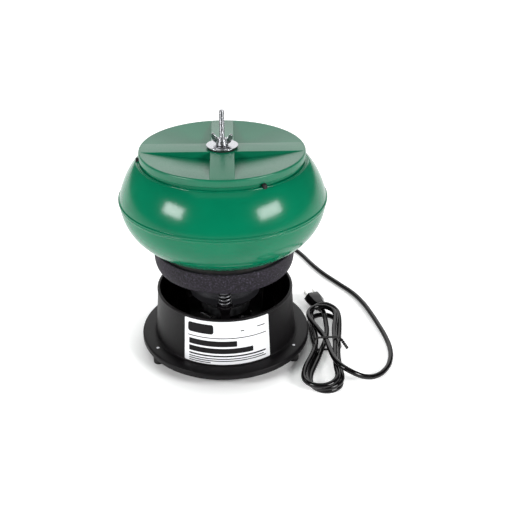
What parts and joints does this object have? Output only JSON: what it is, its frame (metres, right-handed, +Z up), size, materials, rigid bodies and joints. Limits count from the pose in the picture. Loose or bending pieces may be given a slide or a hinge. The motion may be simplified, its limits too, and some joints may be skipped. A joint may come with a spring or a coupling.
{
  "type": "vibratory rock tumbler",
  "caption": "Round sprung bowl with a clamped lid on a motor plate, over a black round base with rubber feet, a mains cord in a tied hank and a plug.",
  "frame": {"origin": "on the floor under the bowl's axis, level with the undersides of the feet", "axes": "+Z up along the centre rod; the front with the label faces -Y; the cord's hank lies on the +X side"},
  "size_m": [0.3546, 0.402, 0.328],
  "materials": {
    "black_plastic": "satin moulded",
    "label_film": "satin printed film",
    "black_rubber": "matte",
    "cord_vinyl": "glossy vinyl",
    "lead_vinyl": "glossy vinyl",
    "terminal_nylon": "matte",
    "spring_steel": "zinc-plated wire",
    "zinc_steel": "bright zinc plate",
    "black_steel": "black oxide",
    "brass": "plain",
    "charcoal_coat": "fine textured powder coat",
    "green_plastic": "high gloss moulded",
    "motor_paint": "satin black",
    "lamination": "stacked and varnished",
    "winding_copper": "varnished wire"
  },
  "bodies": {
    "base": {"base_housing": "black_plastic", "rating_label": "label_film", "foot_left": "black_rubber", "foot_right": "black_rubber", "foot_rear": "black_rubber", "foot_screws": "zinc_steel", "foot_nuts": "zinc_steel", "spring_seats": "black_plastic", "spring_front": "spring_steel", "spring_right": "spring_steel", "spring_left": "spring_steel", "strain_relief": "black_rubber", "cord_clamp": "black_plastic", "clamp_screw": "zinc_steel", "inner_cord": "cord_vinyl", "terminal_block": "terminal_nylon", "terminal_screws": "brass", "motor_leads": "lead_vinyl", "power_cord": "cord_vinyl", "cord_hank": "cord_vinyl", "cord_tie": "cord_vinyl", "plug_body": "cord_vinyl", "plug_blades": "brass"},
    "drum": {"motor_plate": "charcoal_coat", "spring_caps": "black_plastic", "bowl_seat": "black_rubber", "bowl_lower": "green_plastic", "bowl_upper": "green_plastic", "neck_stops": "black_rubber", "center_rod": "zinc_steel", "rod_nuts": "zinc_steel", "rod_washer": "zinc_steel", "motor_standoffs": "zinc_steel", "upper_bracket": "motor_paint", "lower_bracket": "motor_paint", "stator_core": "lamination", "stator_windings": "winding_copper", "motor_bolts": "zinc_steel", "bolt_nuts": "zinc_steel", "upper_bush": "brass", "lower_bush": "brass"},
    "rotor": {"rotor_core": "lamination", "rotor_shaft": "zinc_steel", "eccentric_weight": "zinc_steel", "weight_screw": "black_steel", "cooling_fan": "black_plastic"},
    "lid": {"lid": "green_plastic"},
    "clamp_washers": {"seal_washer": "black_rubber", "flat_washer": "zinc_steel"},
    "wing_nut": {"wing_nut": "zinc_steel"}
  },
  "joints": [
    {"name": "suspension_bounce", "type": "slide", "parent": "base", "child": "drum", "axis": [0, 0, 1], "range_m": [-0.004, 0.004], "stiffness_N_per_m": 30000, "springref_m": 0.00133, "deforming": ["spring_front", "spring_right", "spring_left", "motor_leads"]},
    {"name": "motor_spin", "type": "hinge", "parent": "drum", "child": "rotor", "pos_m": [0, 0, 0.062], "axis": [0, 0, 1], "continuous": true},
    {"name": "lid_lift", "type": "slide", "parent": "drum", "child": "lid", "axis": [0, 0, 1], "range_m": [0, 0.06]},
    {"name": "washer_rise", "type": "slide", "parent": "lid", "child": "clamp_washers", "axis": [0, 0, 1], "range_m": [0, 0.046]},
    {"name": "nut_turn", "type": "hinge", "parent": "clamp_washers", "child": "wing_nut", "pos_m": [0, 0, 0.29], "axis": [0, 0, 1], "range_deg": [0, 12240]}
  ],
  "couplings": [
    {"joint": "washer_rise", "follows": "nut_turn", "m_per_rad": 0.00020213}
  ]
}
